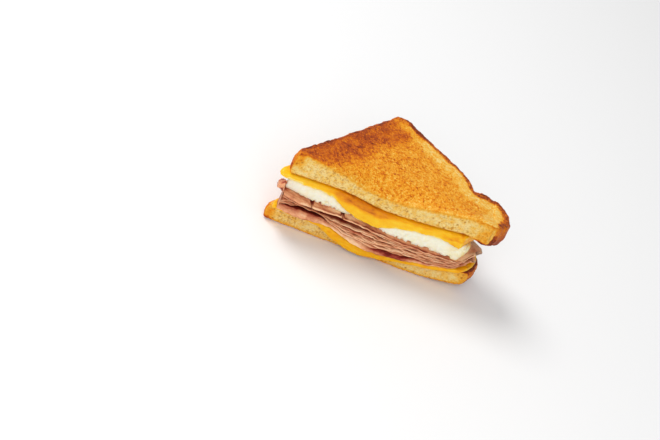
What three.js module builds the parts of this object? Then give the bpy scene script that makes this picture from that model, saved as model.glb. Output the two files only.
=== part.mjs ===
// Half of a toasted ham and egg melt: two slices of a crowned loaf with their filling, cut corner to
// shoulder. From the base up it is bread, melted cheese, a stack of thin ham, an egg white patty,
// melted cheese and bread. Millimetres, +Z up. X runs along the cut face, and Y runs from the cut face
// into the sandwich. At the end the group is shifted, so that its origin is the centre of its bounding
// box, at the base.

import * as THREE from "three";

// The loaf's cross-section: U runs across its base from the kept side, and V up from its base.
const LOAF_WIDTH = 122;
const KEPT_CORNER_RADIUS = 9;
const FAR_CORNER_RADIUS = 4.5;
const SIDE_HEIGHT = 58;
const NOTCH = new THREE.Vector2(7.8, 81.4);
const NOTCH_FLANK = 9;
const CROWN_RADIUS = 17.6;
const CROWN_CENTRE = new THREE.Vector2(18, 97);
const CROWN_START = Math.PI * 1.26;
const CROWN_END = Math.PI * 0.6;
const CROWN_CORNER = 7;

// The knife's line, from low on the loaf's far side to the crown over the kept side.
const CUT_START = new THREE.Vector2(LOAF_WIDTH, 6.5);
const CUT_END = new THREE.Vector2(27, 118.5);

// The heights at which one layer meets the next, well inside the sandwich, and the gap left between them.
const HAM_FLOOR = 16.2;
const EGG_FLOOR = 31.0;
const EGG_TOP = 41.2;
const UPPER_BREAD_FLOOR = 44.0;
const UPPER_BREAD_TOP = 60.4;
const LOWER_CHEESE_THICKNESS = 2.9;
const GAP = 0.5;

// How far those heights change at the cut, from its left end to its right end at equal steps, and how
// deep the change reaches into the sandwich.
const HAM_FLOOR_AT_CUT = [-0.8, -0.8, 1.2, -3.2, -8.0, -6.2, -3.8, -1.4, 0.8, 1.6];
const EGG_FLOOR_AT_CUT = [0.4, -2.2, -2.2, -2.4, -4.4, -5.8, -5.6, -5.0, -4.6, 3.4];
const EGG_TOP_AT_CUT = [-1.4, -0.6, -1.0, -2.2, -3.0, -2.8, -2.2, -1.6, -1.0, -0.6];
const UPPER_BREAD_FLOOR_AT_CUT = [-0.8, 0.4, 1.6, 0.6, -1.6, -0.8, 0.8, 3.0, 5.2, 4.6];
const UPPER_BREAD_TOP_AT_CUT = [1.4, -0.2, -2.0, -6.2, -7.5, -6.0, -2.2, 0.8, 4.4, 3.2];
const HAM_SAG_DEPTH = 10;
const KNIFE_PRESS_DEPTH = 18;
const LOWER_LIFT = { start: 108, end: 157, rise: 6 };
const BREAD_LIFT_DEPTH = 18;

// How far melted cheese hangs down at the cut, from its left end to its right end at equal steps.
const UPPER_CHEESE_DRIP = [0.6, 0.6, 2.0, 8.6, 10.0, 4.4, 1.2, 2.0, 6.4, 3.0];
const UPPER_DRIP_END = { start: 125, end: 132 };
const LOWER_CHEESE_DRIP = [0.2, 1.0, 3.0, 6.4, 4.9, 4.0, 1.6, 1.4, 1.2, 1.2];

// The section of a hanging edge: its thickness, then how far back and how far down each of its points
// lies.
const DRIP_THICKNESS = 1.3;
const DRIP_SECTION = [
  { back: 1, fall: 0 },
  { back: 0.85, fall: 0.8 },
  { back: 0.4, fall: 1 },
  { back: 0, fall: 0.75 },
];
const CHEESE_TOP_EDGE = { back: 0.6, widestAt: 0.4 };

// How far each layer stands out of the knife's plane at the cut, and back from the crust elsewhere.
// Towards the right end a filling may draw back further, and its left corner may be rounded. A
// cheese's drip is how far it hangs down on the crust's side, and its ooze how far it has run out at
// the left end.
const UPPER_CHEESE_EDGE = { proud: 2.2, inset: 2.2, endInset: 14.5, leftCorner: 0, drip: 1.0, ooze: 6 };
const LOWER_CHEESE_EDGE = { proud: 1.0, inset: 3.2, endInset: 3.2, leftCorner: 0, drip: 0.1, ooze: 0 };
const EGG_EDGE = { proud: 0.4, inset: 4.6, endInset: 15, leftCorner: 0.4, ooze: 0 };
const UPPER_BREAD_EDGE = { proud: 0 };
const LOWER_BREAD_EDGE = { proud: -3.5 };
const RIGHT_END = { start: 118, end: 140 };
const LEFT_CORNER_END = 8;
const OOZE_END = 24;
const CUT_REACH = { start: 0.5, end: 4 };

// The egg turns up under the bread at its right end.
const EGG_CURL = { start: 129, end: 139, rise: 6.2, depth: 18 };
const EGG_CLEARANCE = { start: 102, end: 126, rise: 2 };
const EGG_SECTION = [
  { back: 1.2, rise: 0 },
  { back: 0.2, rise: 0.22 },
  { back: 0.2, rise: 0.78 },
  { back: 1.2, rise: 1 },
];

// The ham slices, lowest first: each one's share of the stack, how far it stands out of the cut, the
// steps across the sandwich between which it lies, and the end, if any, at which it doubles back over
// itself.
const HAM_STEPS = 16;
const HAM_END_CROWDING = 0.55;
const HAM_SLICES = [
  { share: 0.13, proud: 2.4, from: 1, to: 15 },
  { share: 0.22, proud: 3.2, from: 2, to: 15, fold: "left" },
  { share: 0.1, proud: 1.6, from: 1, to: 15 },
  { share: 0.21, proud: 2.4, from: 1, to: 14, fold: "right" },
  { share: 0.1, proud: 1.2, from: 1, to: 15 },
  { share: 0.1, proud: 2.6, from: 1, to: 15 },
  { share: 0.14, proud: 2.0, from: 0, to: 15 },
];
const HAM_DEPTH = 82;
const HAM_MIDDLE_DEPTH = 42;
const HAM_SHALLOWEST_WIDTH = 3;
const HAM_EDGE_BULGE = 0.6;
const HAM_FLAP = { reach: 4, depth: 14 };
const HAM_WAVE = { size: 0.32, length: 46, turn: 1.9, slant: 19 };
const HAM_GAP_SHARE = 0.3;
const FOLD_BULGE = { side: 1, middle: 1.4 };
const FOLD_SLIT_SHARE = 0.067;

// The crust's rounding: how far the rim stands back at each share of the slice's thickness.
const CRUST_PROFILE = [
  { rise: 0, inset: 2.8 },
  { rise: 0.13, inset: 0.8 },
  { rise: 0.5, inset: 0 },
  { rise: 0.87, inset: 0.8 },
  { rise: 1, inset: 2.8 },
];

// Steps along each curve of the outline: the far corner, the base, the kept corner, the side, the
// notch's flank, the line out to the crown, the crown, its corner and the cut.
const RIM_STEPS = [3, 6, 5, 3, 4, 2, 8, 3, 12];
const FACE_RINGS = [0.41, 0.68, 0.84, 0.94];
const CENTRE = new THREE.Vector2(72, 31);
const SPLIT_DIRECTION = new THREE.Vector3(0.8, 0.6, 0);

const BREAD = { color: 0xcf8d3e, roughness: 0.8 };
const CHEESE = { color: 0xf7b320, roughness: 0.35 };
const EGG = { color: 0xf6f2e4, roughness: 0.45 };
const HAM = { color: 0xc88774, roughness: 0.5 };

const { clamp, lerp, smoothstep } = THREE.MathUtils;
const cutDirection = CUT_END.clone().sub(CUT_START).normalize();
const cutLength = CUT_END.distanceTo(CUT_START);

// A point of the loaf's cross-section, in the sandwich's X and Y.
function toSandwich(point) {
  const offset = point.clone().sub(CUT_START);
  return new THREE.Vector2(offset.dot(cutDirection), -offset.cross(cutDirection));
}

// The outline of the kept half slice, counter-clockwise. The knife's edge meets the crown in a rounded
// corner.
function halfSliceOutline() {
  const [far, kept] = [FAR_CORNER_RADIUS, KEPT_CORNER_RADIUS];
  const cornerEnd = CUT_END.clone().addScaledVector(cutDirection, -CROWN_CORNER);
  const path = new THREE.Path();
  path.moveTo(CUT_START.x, CUT_START.y);
  path.absarc(LOAF_WIDTH - far, far, far, 0, -Math.PI / 2, true);
  path.absarc(kept, kept, kept, -Math.PI / 2, -Math.PI, true);
  path.lineTo(0, SIDE_HEIGHT);
  path.quadraticCurveTo(0, NOTCH.y - NOTCH_FLANK, NOTCH.x, NOTCH.y);
  path.absarc(CROWN_CENTRE.x, CROWN_CENTRE.y, CROWN_RADIUS, CROWN_START, CROWN_END, true);
  path.quadraticCurveTo(CUT_END.x, CUT_END.y, cornerEnd.x, cornerEnd.y);
  path.closePath();
  return path.curves
    .flatMap((curve, i) => curve.getSpacedPoints(RIM_STEPS[i]).slice(0, -1))
    .map(toSandwich)
    .reverse();
}

// A smooth function of X through values set at equal steps along the cut.
function alongCut(values) {
  const curve = new THREE.SplineCurve(values.map((value, step) => new THREE.Vector2(step, value)));
  return (x) => curve.getPoint(clamp(x / cutLength, 0, 1)).y;
}

// The boundary between two layers: level inside the sandwich, and changed near the cut by the values
// given.
function boundary(level, valuesAtCut, depth) {
  const change = alongCut(valuesAtCut);
  return (x, y) => level + change(x) * (1 - smoothstep(y, 0, depth));
}

// The lower bread, and the cheese on it, lift towards the crown.
function lowerLift(x) {
  return LOWER_LIFT.rise * smoothstep(x, LOWER_LIFT.start, LOWER_LIFT.end);
}

// How far a place has come along the egg's curl, from 0 to 1.
function curlShare(x, y) {
  return smoothstep(x, EGG_CURL.start, EGG_CURL.end) * (1 - smoothstep(y, 0, EGG_CURL.depth));
}

// The room between the upper cheese and the curled end of the egg.
function eggClearance(x) {
  return EGG_CLEARANCE.rise * smoothstep(x, EGG_CLEARANCE.start, EGG_CLEARANCE.end);
}

const outline = halfSliceOutline();
const levelHamFloor = boundary(HAM_FLOOR, HAM_FLOOR_AT_CUT, HAM_SAG_DEPTH);
const hamFloor = (x, y) => levelHamFloor(x, y) + lowerLift(x);
const hamTop = boundary(EGG_FLOOR, EGG_FLOOR_AT_CUT, KNIFE_PRESS_DEPTH);
const uncurledEggTop = boundary(EGG_TOP, EGG_TOP_AT_CUT, KNIFE_PRESS_DEPTH);
const upperBreadFloor = boundary(UPPER_BREAD_FLOOR, UPPER_BREAD_FLOOR_AT_CUT, BREAD_LIFT_DEPTH);
const upperBreadTop = boundary(UPPER_BREAD_TOP, UPPER_BREAD_TOP_AT_CUT, KNIFE_PRESS_DEPTH);
const lowerBreadTop = (x, y) => hamFloor(x, y) - LOWER_CHEESE_THICKNESS;
const eggFloor = (x, y) => hamTop(x, y) + EGG_CURL.rise * curlShare(x, y);
const eggTop = (x, y) => uncurledEggTop(x, y) + EGG_CURL.rise * curlShare(x, y);
const upperCheeseFloor = (x, y) => eggTop(x, y) + eggClearance(x);

// How much of a rim point belongs to the cut: 1 along the cut and 0 on the crust.
function cutShare(point) {
  return 1 - smoothstep(point.y, CUT_REACH.start, CUT_REACH.end);
}

function movedInward(point, inset) {
  const arm = point.clone().sub(CENTRE);
  return CENTRE.clone().addScaledVector(arm, 1 - inset / arm.length());
}

// The rim at a layer's edge: proud of the knife's plane at the cut, and inset at the crust.
function edgePoint(point, { proud, inset }) {
  const share = cutShare(point);
  const moved = movedInward(point, inset * (1 - share));
  moved.y -= proud * share;
  return moved;
}

// A rim point drawn in towards the centre, or along the cut where it lies on the cut.
function drawnIn(point, inset) {
  const inward = CENTRE.clone().sub(point).normalize();
  const alongCut = new THREE.Vector2(Math.sign(inward.x), 0);
  return point.clone().addScaledVector(inward.lerp(alongCut, cutShare(point)), inset);
}

// The outline of a filling: drawn back from the crust, and further back at the right end.
function fillingRim({ inset, endInset, leftCorner, ooze }) {
  return outline.map((point) => {
    const atEnd = smoothstep(point.x, RIGHT_END.start, RIGHT_END.end);
    const atCorner = leftCorner * (1 - smoothstep(point.x, 0, LEFT_CORNER_END));
    const oozed = ooze * (1 - smoothstep(point.x, 0, OOZE_END));
    const share = Math.max(1 - cutShare(point), atEnd + atCorner);
    return drawnIn(point, (lerp(inset, endInset, atEnd) - oozed) * share);
  });
}

// Triangulation drops points that lie in one line, so it is given them a hair off it.
function offTheLine(point, index) {
  return point.clone().add(new THREE.Vector2(0, 1e-4 * Math.sin(index * index)));
}

// A closed mesh over rings of points, with each end covered. flatten gives a ring point's place in the
// ring's plane. Each quad is split through its lowest corner in one slanted direction, so that layers
// which touch are split alike.
function closedSkin(rings, flatten) {
  const count = rings[0].length;
  const points = rings.flat();
  const slant = (index) => points[index].dot(SPLIT_DIRECTION);
  const triangles = [];
  for (let ring = 0; ring + 1 < rings.length; ring += 1) {
    for (let i = 0; i < count; i += 1) {
      const [a, b] = [ring * count + i, ring * count + ((i + 1) % count)];
      const [c, d] = [b + count, a + count];
      if (Math.min(slant(a), slant(c)) < Math.min(slant(b), slant(d))) {
        triangles.push(a, b, c, a, c, d);
      } else {
        triangles.push(a, b, d, b, c, d);
      }
    }
  }
  const cap = (ring) => THREE.ShapeUtils.triangulateShape(ring.map(flatten).map(offTheLine), []);
  const lastStart = (rings.length - 1) * count;
  cap(rings[0]).forEach(([p, q, r]) => triangles.push(r, q, p));
  cap(rings.at(-1)).forEach(([p, q, r]) => triangles.push(lastStart + p, lastStart + q, lastStart + r));
  const geometry = new THREE.BufferGeometry();
  const positions = points.flatMap((point) => point.toArray());
  geometry.setAttribute("position", new THREE.Float32BufferAttribute(positions, 3));
  geometry.setIndex(triangles);
  geometry.computeVertexNormals();
  return geometry;
}

// A layer of the sandwich: rings across its underside, up round its edge, and back across its top.
function layerGeometry(rim, floor, top, edgeRings, faceRings = FACE_RINGS) {
  const faceRing = (reach, height) => rim.map((point) => {
    const spot = CENTRE.clone().lerp(point, reach);
    return new THREE.Vector3(spot.x, spot.y, height(spot.x, spot.y));
  });
  const rings = [
    ...faceRings.map((reach) => faceRing(reach, floor)),
    ...edgeRings,
    ...faceRings.toReversed().map((reach) => faceRing(reach, top)),
  ];
  return closedSkin(rings, (point) => new THREE.Vector2(point.x, point.y));
}

// A slice of bread, whose crust is rounded while its cut face is flat.
function breadGeometry(floor, top, { proud }, faceRings) {
  const edgeRings = CRUST_PROFILE.map(({ rise, inset }) => outline.map((point) => {
    const spot = edgePoint(point, { proud, inset });
    return new THREE.Vector3(spot.x, spot.y, lerp(floor(spot.x, spot.y), top(spot.x, spot.y), rise));
  }));
  return layerGeometry(outline, floor, top, edgeRings, faceRings);
}

// A sheet of melted cheese, whose edge hangs down over what it lies on.
function cheeseGeometry(floor, top, edge, dripAtCut) {
  const rim = fillingRim(edge);
  const ring = (back, place) => rim.map((point) => {
    const spot = edgePoint(point, { proud: edge.proud - back, inset: back });
    const hang = lerp(edge.drip, dripAtCut(point.x), cutShare(point));
    return new THREE.Vector3(spot.x, spot.y, place(floor(spot.x, spot.y), top(spot.x, spot.y), hang));
  });
  const edgeRings = [
    ...DRIP_SECTION.map(({ back, fall }) => ring(DRIP_THICKNESS * back, (low, _, hang) => low - hang * fall)),
    ring(0, (low, high) => lerp(low, high, CHEESE_TOP_EDGE.widestAt)),
    ring(DRIP_THICKNESS * CHEESE_TOP_EDGE.back, (low, high) => high),
  ];
  return layerGeometry(rim, floor, top, edgeRings);
}

// The egg patty, with rounded edges.
function eggGeometry(floor, top) {
  const rim = fillingRim(EGG_EDGE);
  const edgeRings = EGG_SECTION.map(({ back, rise }) => rim.map((point) => {
    const spot = edgePoint(point, { proud: EGG_EDGE.proud - back * 0.5, inset: back });
    return new THREE.Vector3(spot.x, spot.y, lerp(floor(spot.x, spot.y), top(spot.x, spot.y), rise));
  }));
  return layerGeometry(rim, floor, top, edgeRings);
}

// The outline's left and right limits at a depth into the sandwich.
function widthAt(y) {
  const crossings = outline.flatMap((point, i) => {
    const next = outline[(i + 1) % outline.length];
    if ((point.y > y) === (next.y > y)) {
      return [];
    }
    return [lerp(point.x, next.x, (y - point.y) / (next.y - point.y))];
  });
  return [Math.min(...crossings), Math.max(...crossings)];
}

// Where the ham stack is divided between its slices, as shares of its height from 0 to 1, at a place
// in the sandwich.
function hamDivisions(x, y) {
  const shares = HAM_SLICES.map(({ share }, i) => {
    const angle = (2 * Math.PI * (x + HAM_WAVE.slant * Math.sin(y / HAM_WAVE.slant))) / HAM_WAVE.length;
    return share * (1 + HAM_WAVE.size * Math.sin(angle + HAM_WAVE.turn * i));
  });
  const total = shares.reduce((sum, share) => sum + share, 0);
  let reached = 0;
  return [0, ...shares.map((share) => (reached += share / total))];
}

// Steps across the ham lie closer together near its ends.
function hamStepShare(step) {
  const share = step / HAM_STEPS;
  return share - (HAM_END_CROWDING * Math.sin(2 * Math.PI * share)) / (2 * Math.PI);
}

function flapReach(y) {
  return HAM_FLAP.reach * (1 - smoothstep(y, 0, HAM_FLAP.depth));
}

// One slice of ham: its section along the sandwich, lofted from the back to the cut.
function hamGeometry(index) {
  const { proud, from, to, fold } = HAM_SLICES[index];
  const faceDepths = FACE_RINGS.map((reach) => CENTRE.y * (1 - reach));
  const depths = [HAM_DEPTH, HAM_MIDDLE_DEPTH, ...faceDepths, -proud];
  const forward = Array.from({ length: to - from + 1 }, (_, step) => from + step);
  const backward = forward.toReversed();
  const rings = depths.map((y) => {
    const [left, right] = widthAt(Math.max(y, HAM_SHALLOWEST_WIDTH));
    const point = (step, rise, shift = 0) => {
      const x = lerp(left, right, hamStepShare(step)) - (step === 0 ? flapReach(y) : 0);
      const [low, high] = [hamFloor(x, y), hamTop(x, y)];
      const [bottom, top] = hamDivisions(x, y).slice(index, index + 2).map((share) => lerp(low, high, share));
      const gap = Math.min(GAP, HAM_GAP_SHARE * (top - bottom));
      return new THREE.Vector3(x + shift, y, lerp(bottom + gap / 2, top - gap / 2, rise));
    };
    const run = (steps, rise) => steps.map((step) => point(step, rise));
    const [first, last] = [point(from, 0.5, -HAM_EDGE_BULGE), point(to, 0.5, HAM_EDGE_BULGE)];
    if (!fold) {
      return [...run(forward, 0), last, ...run(backward, 1), first];
    }
    // The two leaves of a doubled slice meet in a round bend, and the slit between them ends short of it.
    const [bend, outward] = fold === "left" ? [from, -1] : [to, 1];
    const [lowLeaf, highLeaf] = [0.5 - FOLD_SLIT_SHARE, 0.5 + FOLD_SLIT_SHARE];
    const slit = forward.filter((step) => step !== bend);
    const side = outward * FOLD_BULGE.side;
    const middle = outward * FOLD_BULGE.middle;
    const round = [point(bend, 0.25, side), point(bend, 0.5, middle), point(bend, 0.75, side)];
    const slitEnd = point(bend, 0.5, -side);
    if (fold === "right") {
      return [
        ...run(forward, 0), ...round, ...run(backward, 1), ...run(slit, highLeaf), slitEnd,
        ...run(slit.toReversed(), lowLeaf),
      ];
    }
    return [
      ...run(forward, 0), ...run(slit.toReversed(), lowLeaf), slitEnd, ...run(slit, highLeaf),
      ...run(backward, 1), ...round.toReversed(),
    ];
  });
  return closedSkin(rings, (point) => new THREE.Vector2(point.x, point.z));
}

const lowerDrip = alongCut(LOWER_CHEESE_DRIP);
const fullUpperDrip = alongCut(UPPER_CHEESE_DRIP);
const upperDrip = (x) => fullUpperDrip(x) * (1 - smoothstep(x, UPPER_DRIP_END.start, UPPER_DRIP_END.end));
const above = (height) => (x, y) => height(x, y) + GAP / 2;
const below = (height, gaps = 0.5) => (x, y) => height(x, y) - GAP * gaps;

function addPiece(group, name, geometry, material) {
  const mesh = new THREE.Mesh(geometry, new THREE.MeshStandardMaterial({ ...material, metalness: 0 }));
  mesh.name = name;
  group.add(mesh);
}

function makeSandwich() {
  const group = new THREE.Group();
  const lowerBread = breadGeometry(
    lowerLift, below(lowerBreadTop), LOWER_BREAD_EDGE, FACE_RINGS.slice(0, -1),
  );
  addPiece(group, "bread_bottom", lowerBread, BREAD);
  const lowerCheese = cheeseGeometry(
    above(lowerBreadTop), below(hamFloor, 1.4), LOWER_CHEESE_EDGE, lowerDrip,
  );
  addPiece(group, "cheese_bottom", lowerCheese, CHEESE);
  HAM_SLICES.forEach((_, index) => addPiece(group, `ham_${index + 1}`, hamGeometry(index), HAM));
  addPiece(group, "egg_patty", eggGeometry(above(eggFloor), below(eggTop)), EGG);
  const upperCheese = cheeseGeometry(
    above(upperCheeseFloor), below(upperBreadFloor), UPPER_CHEESE_EDGE, upperDrip,
  );
  addPiece(group, "cheese_top", upperCheese, CHEESE);
  addPiece(group, "bread_top", breadGeometry(above(upperBreadFloor), upperBreadTop, UPPER_BREAD_EDGE), BREAD);

  const box = new THREE.Box3().setFromObject(group);
  const centre = box.getCenter(new THREE.Vector3());
  group.position.set(-centre.x, -centre.y, -box.min.z);
  return group;
}

export default makeSandwich();
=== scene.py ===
"""Half of a toasted ham and egg melt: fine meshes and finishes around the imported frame.

Lengths in the functions below are millimetres in the frame's own axes: X runs along the cut, Y from the
cut into the sandwich, and Z up. Blender's own coordinates are metres.
"""

import math

import bmesh
import bpy
import numpy as np
from mathutils import Matrix, Vector
from mathutils.bvhtree import BVHTree
from mathutils.kdtree import KDTree


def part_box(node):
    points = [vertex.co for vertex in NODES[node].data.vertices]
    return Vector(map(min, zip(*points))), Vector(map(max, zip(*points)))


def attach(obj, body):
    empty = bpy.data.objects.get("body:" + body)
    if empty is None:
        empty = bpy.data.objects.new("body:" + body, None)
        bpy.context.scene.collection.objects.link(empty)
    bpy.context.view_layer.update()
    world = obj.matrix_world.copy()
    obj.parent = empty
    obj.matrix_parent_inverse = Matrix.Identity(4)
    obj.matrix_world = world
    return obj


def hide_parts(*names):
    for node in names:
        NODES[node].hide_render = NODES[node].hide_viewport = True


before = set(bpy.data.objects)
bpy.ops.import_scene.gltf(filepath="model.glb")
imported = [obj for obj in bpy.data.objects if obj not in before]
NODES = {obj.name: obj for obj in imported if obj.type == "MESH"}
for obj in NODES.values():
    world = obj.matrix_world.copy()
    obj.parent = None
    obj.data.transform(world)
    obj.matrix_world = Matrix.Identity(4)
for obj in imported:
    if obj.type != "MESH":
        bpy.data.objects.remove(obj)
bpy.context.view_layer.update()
MM = 0.001


# ---------------------------------------------------------------- measures from the frame


def box(node):
    """The lowest and the highest corner of a CAD node's box."""
    low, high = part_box(node)
    return np.array(low) / MM, np.array(high) / MM


BREAD_LOW, BREAD_HIGH = box("bread_top")
CUT_Y = BREAD_LOW[1]
LEFT_X, RIGHT_X = BREAD_LOW[0], BREAD_HIGH[0]
HAM_NODES = [f"ham_{number}" for number in range(1, 8)]
EGG_LEFT = box("egg_patty")[0][0]

# How far behind the cut, or in front of it, the levels of a layer or of its hanging edge are measured.
BEHIND_CUT = 1.5
BEFORE_CUT = 0.8
# Farther than any part of the sandwich.
FAR = 200


class Solids:
    """CAD solids to measure with rays."""

    def __init__(self, *names):
        vertices, faces = [], []
        for name in names:
            mesh = NODES[name].data
            start = len(vertices)
            vertices += [v.co.copy() for v in mesh.vertices]
            faces += [[start + i for i in polygon.vertices] for polygon in mesh.polygons]
        self.tree = BVHTree.FromPolygons(vertices, faces)
        self.left, self.right = (pick(v.x for v in vertices) / MM for pick in (min, max))

    def height(self, x, y, direction):
        """The height of the lowest surface with direction 1, or of the highest with direction -1."""
        start = Vector((x, y, -direction * FAR)) * MM
        hit = self.tree.ray_cast(start, Vector((0, 0, direction)))[0]
        return None if hit is None else hit.z / MM

    def profile(self, y, direction, step=1.0):
        """Heights along X at a Y, as the places and the heights."""
        xs = np.arange(self.left, self.right, step)
        found = [(x, self.height(x, y, direction)) for x in xs]
        return np.array([(x, z) for x, z in found if z is not None]).T


UNDER_TOP_BREAD = Solids("bread_top").profile(CUT_Y + BEHIND_CUT, 1)


# ---------------------------------------------------------------- noise


def lattice(cells, seed):
    """A repeatable random number from 0 to 1 for each whole-numbered cell."""
    x, y, z = (cells[..., axis].astype(np.int64) for axis in range(3))
    mixed = (x * 73856093) ^ (y * 19349663) ^ (z * 83492791) ^ (seed * 40503 + 977)
    mixed = ((mixed ^ (mixed >> 13)) * 1274126177) & 0xFFFFFFFF
    mixed = ((mixed ^ (mixed >> 15)) * 2246822519) & 0xFFFFFFFF
    return ((mixed ^ (mixed >> 16)) & 0xFFFFFF) / float(1 << 24)


def lattice_one(index, seed):
    """The same for one number."""
    return float(lattice(np.array([[index, 0, 0]]), seed)[0])


def smooth(values):
    """An S-shaped climb from 0 to 1, level at both ends."""
    clipped = np.clip(values, 0.0, 1.0)
    return clipped * clipped * (3 - 2 * clipped)


def ramp(values, start, end):
    """A smooth climb from 0 at start to 1 at end."""
    return smooth((values - start) / (end - start))


def noise(points, size, seed):
    """Smooth noise from -1 to 1, whose bumps are about size millimetres across."""
    scaled = points / size
    corner = np.floor(scaled)
    share = smooth(scaled - corner)
    total = np.zeros(len(points))
    for dx in (0, 1):
        for dy in (0, 1):
            for dz in (0, 1):
                weight = (
                    np.abs(1 - dx - share[:, 0])
                    * np.abs(1 - dy - share[:, 1])
                    * np.abs(1 - dz - share[:, 2])
                )
                total += weight * lattice(corner + (dx, dy, dz), seed)
    return 2 * total - 1


def fractal(points, size, seed, octaves=3):
    """Noise from -1 to 1 with finer and fainter noise on top."""
    total, strength = np.zeros(len(points)), 0.0
    for octave in range(octaves):
        total += noise(points, size / 2**octave, seed + octave) / 2**octave
        strength += 1 / 2**octave
    return total / strength


def along(xs, size, seed, octaves=3):
    """Noise along one line."""
    xs = np.asarray(xs, float)
    line = np.stack([xs, np.full_like(xs, 0.37 * seed), np.full_like(xs, 5.1)], axis=1)
    return fractal(line, size, seed, octaves)


def pores(points, spacing, smallest, largest, seed):
    """How deep each point lies in one of many round holes, at most one to a cell of that spacing."""
    scaled = points / spacing
    corner = np.floor(scaled)
    deepest = np.zeros(len(points))
    for dx in (-1, 0, 1):
        for dy in (-1, 0, 1):
            for dz in (-1, 0, 1):
                cell = corner + (dx, dy, dz)
                centre = np.stack([lattice(cell, seed + axis) for axis in range(3)], axis=1) + cell
                radius = smallest + (largest - smallest) * lattice(cell, seed + 3) ** 3
                apart = np.linalg.norm((scaled - centre) * spacing, axis=1)
                deepest = np.maximum(deepest, np.sqrt(np.clip(radius**2 - apart**2, 0, None)))
    return deepest


# ---------------------------------------------------------------- meshes

# Points of a CAD mesh that are closer than this are joined.
WELD_METRES = 1e-7


class Skin:
    """A fine mesh's points in millimetres, which is shaped here and then written back."""

    def __init__(self, piece):
        self.piece = piece
        mesh = piece.data
        self.edges = np.empty(len(mesh.edges) * 2, np.int32)
        mesh.edges.foreach_get("vertices", self.edges)
        self.edges = self.edges.reshape(-1, 2)
        self.points = np.empty(len(mesh.vertices) * 3)
        mesh.vertices.foreach_get("co", self.points)
        self.points = self.points.reshape(-1, 3) / MM
        self.degree = np.bincount(self.edges.ravel(), minlength=len(self.points))[:, None]

    def write(self):
        mesh = self.piece.data
        mesh.vertices.foreach_set("co", (self.points * MM).ravel())
        mesh.update()

    def normals(self):
        self.write()
        found = np.empty(len(self.points) * 3)
        self.piece.data.vertices.foreach_get("normal", found)
        return found.reshape(-1, 3)

    def mean_of_neighbours(self, values):
        total = np.zeros_like(values)
        for a, b in ((0, 1), (1, 0)):
            for column in range(values.shape[1]):
                total[:, column] += np.bincount(
                    self.edges[:, a], values[self.edges[:, b], column], minlength=len(values)
                )
        return total / self.degree

    def relax(self, rounds):
        """Moves each point half of the way to its neighbours' mean, a number of times."""
        for _ in range(rounds):
            self.points += 0.5 * (self.mean_of_neighbours(self.points) - self.points)

    def attribute(self, name, values):
        layer = self.piece.data.attributes.new(name, "FLOAT", "POINT")
        layer.data.foreach_set("value", np.asarray(values, np.float32))


def linked(name, mesh):
    """A new object in the scene for a mesh."""
    piece = bpy.data.objects.new(name, mesh)
    bpy.context.scene.collection.objects.link(piece)
    return piece


def remeshed(name, node, voxel):
    """A fine, even mesh of a CAD node's solid."""
    welded = bmesh.new()
    welded.from_mesh(NODES[node].data)
    bmesh.ops.remove_doubles(welded, verts=welded.verts, dist=WELD_METRES)
    mesh = bpy.data.meshes.new(name)
    welded.to_mesh(mesh)
    welded.free()
    piece = linked(name, mesh)
    modifier = piece.modifiers.new("voxels", "REMESH")
    modifier.mode = "VOXEL"
    modifier.voxel_size = voxel * MM
    graph = bpy.context.evaluated_depsgraph_get()
    fine = bpy.data.meshes.new_from_object(piece.evaluated_get(graph))
    piece.modifiers.clear()
    piece.data = fine
    return piece


def finished(piece, slot, material, *nodes):
    """Gives a piece its material, and puts it in the frame in place of the CAD nodes."""
    piece.data.materials.clear()
    piece.data.materials.append(material)
    piece.data.polygons.foreach_set("use_smooth", np.ones(len(piece.data.polygons), bool))
    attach(piece, "root")
    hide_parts(*nodes)


# ---------------------------------------------------------------- material nodes


def linear(code):
    """A hex colour in Blender's linear values."""
    shares = [int(code[i : i + 2], 16) / 255 for i in (0, 2, 4)]
    return [*(s / 12.92 if s <= 0.04045 else ((s + 0.055) / 1.055) ** 2.4 for s in shares), 1.0]


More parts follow.
